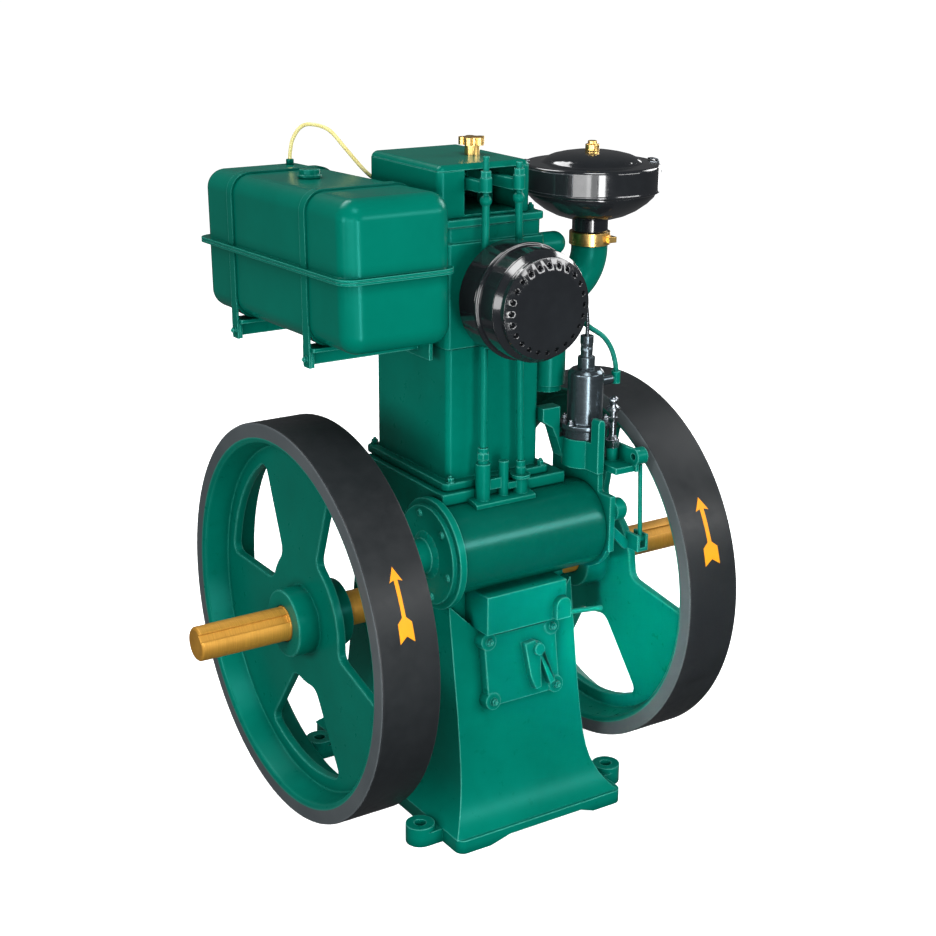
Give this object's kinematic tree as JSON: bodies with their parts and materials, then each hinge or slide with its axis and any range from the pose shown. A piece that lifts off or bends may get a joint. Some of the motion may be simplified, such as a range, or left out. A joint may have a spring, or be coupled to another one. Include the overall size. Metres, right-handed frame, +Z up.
{
  "type": "stationary engine",
  "caption": "Vertical single-cylinder water-cooled stationary engine on a cast pedestal, with outboard flywheels on a through shaft, a side fuel tank, round silencer and air cleaner.",
  "frame": {"origin": "on the floor under the crankshaft, midway between the two flywheels", "axes": "+X along the crankshaft towards the air-cleaner side, -Y towards the inspection door and silencer, +Z up"},
  "size_m": [0.89, 0.6, 1.02],
  "materials": {
    "enamel_green": "gloss",
    "enamel_black": "gloss",
    "steel": "satin",
    "brass": "satin",
    "shaft_gold": "satin",
    "nylon_yellow": "satin"
  },
  "bodies": {
    "engine": {"base_pedestal": "enamel_green", "crankcase_upper": "enamel_green", "crankcase_door": "enamel_green", "rear_door": "enamel_green", "breather_hood": "enamel_green", "main_bearings": "enamel_green", "cam_housing": "enamel_green", "cam_cover": "enamel_green", "governor_plate": "enamel_green", "cylinder_block": "enamel_green", "cylinder_head": "enamel_green", "rocker_box": "enamel_green", "rocker_lid": "enamel_green", "lid_knob": "brass", "rocker_gear": "enamel_green", "pushrods": "enamel_green", "tappet_block": "enamel_green", "fuel_tank_upper": "enamel_green", "fuel_tank_lower": "enamel_green", "tank_cap": "enamel_green", "tank_straps": "enamel_green", "tank_bracket": "enamel_green", "leak_off_pipe": "nylon_yellow", "silencer_body": "enamel_black", "silencer_cap": "enamel_black", "exhaust_neck": "enamel_black", "intake_elbow": "enamel_green", "hose_clamp": "brass", "air_cleaner_bowl": "enamel_black", "air_cleaner_cover": "enamel_black", "air_cleaner_nut": "brass", "port_cover": "enamel_green", "fuel_filter": "enamel_green", "fuel_pump": "steel", "delivery_valve": "steel", "pump_bracket": "enamel_green", "fuel_pipe": "enamel_green", "injector_pipe": "steel", "injector": "steel", "governor_levers": "enamel_green", "control_rod": "enamel_green", "bleed_fitting": "steel"},
    "crank_and_flywheels": {"crankshaft": "shaft_gold", "flywheel_left": "enamel_green", "flywheel_right": "enamel_green"}
  },
  "joints": [
    {"name": "crank", "type": "hinge", "parent": "engine", "child": "crank_and_flywheels", "pos_m": [0, 0, 0.325], "axis": [1, 0, 0], "continuous": true}
  ]
}
